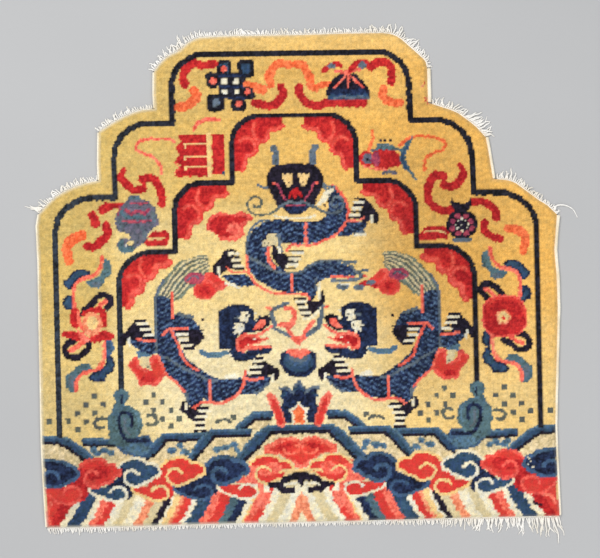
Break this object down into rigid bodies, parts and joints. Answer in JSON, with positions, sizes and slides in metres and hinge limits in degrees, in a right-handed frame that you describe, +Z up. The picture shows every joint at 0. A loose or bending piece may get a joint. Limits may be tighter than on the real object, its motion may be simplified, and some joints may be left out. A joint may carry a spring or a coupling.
{
  "type": "chinese rug",
  "caption": "Flat knotted wool throne-back rug with a stepped cloud-shaped outline, overcast sides and short cut warp fringes.",
  "frame": {"origin": "middle of the plan, on the floor under the rug", "axes": "+X along the wefts, to the right seen from the foot; +Y along the warps, from the foot to the narrow top; +Z up out of the pile"},
  "size_m": [0.7722, 0.7296, 0.009],
  "materials": {
    "pile": "matt knotted wool pile, golden ground with navy, blue, red, coral and cream figures",
    "cotton_cord": "matt overcast cotton, off-white",
    "cotton_fringe": "matt cut cotton warp ends, off-white"
  },
  "bodies": {
    "root": {"rug_body": "pile", "cord_right_low": "cotton_cord", "cord_right_mid": "cotton_cord", "cord_right_top": "cotton_cord", "cord_left_top": "cotton_cord", "cord_left_mid": "cotton_cord", "cord_left_low": "cotton_cord", "fringe_foot": "cotton_fringe", "fringe_right_low": "cotton_fringe", "fringe_right_mid": "cotton_fringe", "fringe_top": "cotton_fringe", "fringe_left_mid": "cotton_fringe", "fringe_left_low": "cotton_fringe"}
  },
  "joints": []
}
